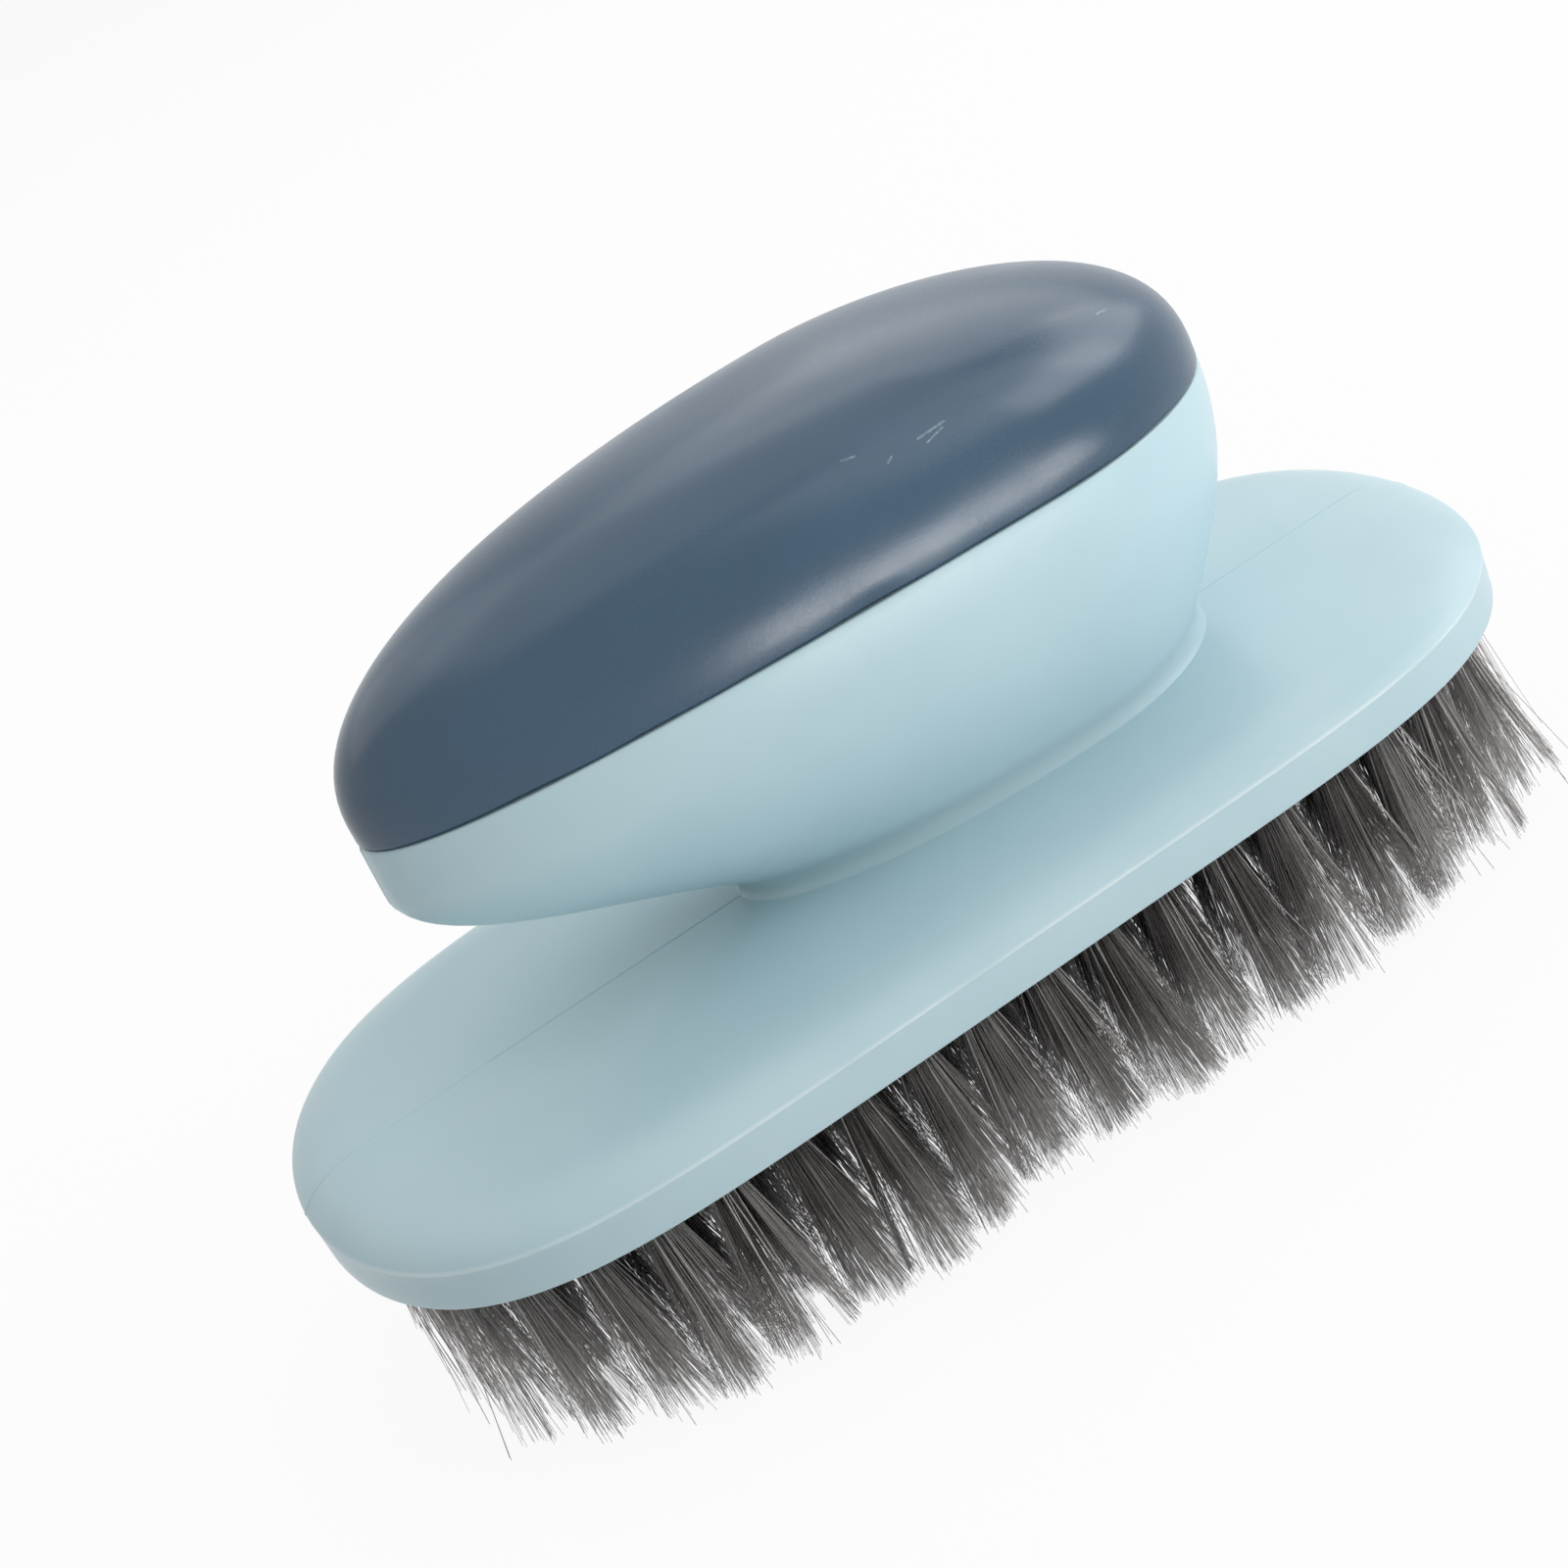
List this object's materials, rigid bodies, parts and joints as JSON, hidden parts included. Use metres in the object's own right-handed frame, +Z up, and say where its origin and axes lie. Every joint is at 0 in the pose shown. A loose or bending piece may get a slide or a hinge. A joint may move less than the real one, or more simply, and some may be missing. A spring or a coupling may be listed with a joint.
{
  "type": "laundry scrub brush",
  "caption": "Hand-held laundry scrub brush: oblong plate, a flared pedestal handle that overhangs the plate at the rear, a domed grip cap and rings of soft bristle tufts below.",
  "frame": {"origin": "middle of the plane that the bristle tips stand on, under the middle of the plate", "axes": "+X along the brush to its front, where the handle stands, +Y across it, +Z up from the bristle tips to the grip cap"},
  "size_m": [0.155, 0.068, 0.0855],
  "materials": {
    "body_plastic": "satin moulded polypropylene, pale aqua",
    "cap_plastic": "satin moulded plastic, dark slate blue",
    "bristle": "fine grey synthetic filament",
    "anchor_wire": "dull drawn steel wire"
  },
  "bodies": {
    "root": {"brush_body": "body_plastic", "grip_cap": "cap_plastic", "bristle_ring_1": "bristle", "bristle_ring_2": "bristle", "bristle_ring_3": "bristle", "bristle_ring_4": "bristle"}
  },
  "joints": []
}
